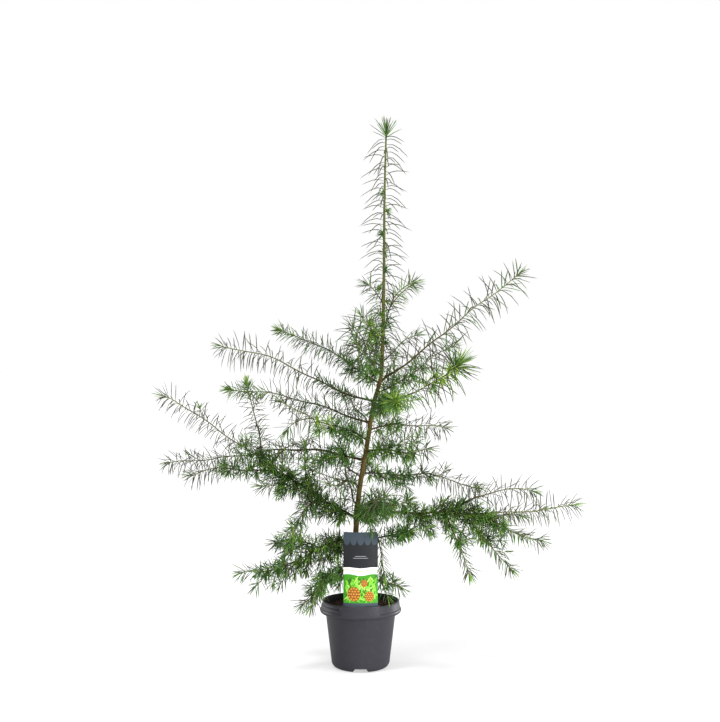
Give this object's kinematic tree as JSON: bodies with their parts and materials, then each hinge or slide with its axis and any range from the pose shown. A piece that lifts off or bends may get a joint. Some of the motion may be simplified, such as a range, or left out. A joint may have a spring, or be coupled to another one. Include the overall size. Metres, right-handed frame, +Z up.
{
  "type": "potted japanese larch",
  "caption": "Young Japanese larch in a round grey nursery pot: slender bent trunk, straight leader and wide open boughs clothed in soft needles, with a plain label.",
  "frame": {"origin": "centre of the pot's flat underside", "axes": "+Z up along the trunk, +X to the plant's right as seen from the front, -Y toward the front, where the label stands"},
  "size_m": [1.0047, 0.6164, 1.2604],
  "materials": {
    "bark": "rough grey-brown bark, orange-brown in the furrows",
    "old_foliage": "soft matt dark green needles",
    "young_foliage": "soft matt fresh green needles",
    "pot_plastic": "satin moulded plastic",
    "soil": "moist crumbly compost",
    "label_film": "printed plastic film"
  },
  "bodies": {
    "root": {"bough_03_left": "bark", "bough_05_left": "bark", "bough_06_right": "bark", "bough_07_front": "bark", "bough_08_back": "bark", "bough_11_right": "bark", "bough_12_back": "bark", "bough_13_left": "bark", "bough_15_left": "bark", "bough_16_right": "bark", "bough_17_back": "bark", "bough_18_left": "bark", "bough_20_right": "bark", "bough_21_left": "bark", "bough_22_right": "bark", "bough_24_left": "bark", "bough_25_right": "bark", "foliage_01_right": "old_foliage", "foliage_02_left": "old_foliage", "foliage_03_left": "old_foliage", "foliage_04_right": "old_foliage", "foliage_05_left": "old_foliage", "foliage_06_right": "old_foliage", "foliage_07_front": "old_foliage", "foliage_08_back": "old_foliage", "foliage_09_left": "old_foliage", "foliage_10_left": "old_foliage", "foliage_11_right": "old_foliage", "foliage_12_back": "old_foliage", "foliage_13_left": "old_foliage", "foliage_14_right": "old_foliage", "foliage_15_left": "young_foliage", "foliage_16_right": "young_foliage", "foliage_17_back": "young_foliage", "foliage_18_left": "young_foliage", "foliage_19_front": "young_foliage", "foliage_20_right": "young_foliage", "foliage_21_left": "young_foliage", "foliage_22_right": "young_foliage", "foliage_23_back": "young_foliage", "foliage_24_left": "young_foliage", "foliage_25_right": "young_foliage", "foliage_26_front": "young_foliage", "foliage_27_back": "young_foliage", "foliage_28_right": "young_foliage", "foliage_29_left": "young_foliage", "foliage_30_right": "young_foliage", "foliage_31_left": "young_foliage", "foliage_leader_1": "young_foliage", "foliage_leader_2": "young_foliage", "foliage_leader_3": "young_foliage", "foliage_leader_4": "young_foliage", "foliage_tip": "young_foliage", "label": "label_film", "pot": "pot_plastic", "soil": "soil", "trunk": "bark"}
  },
  "joints": []
}
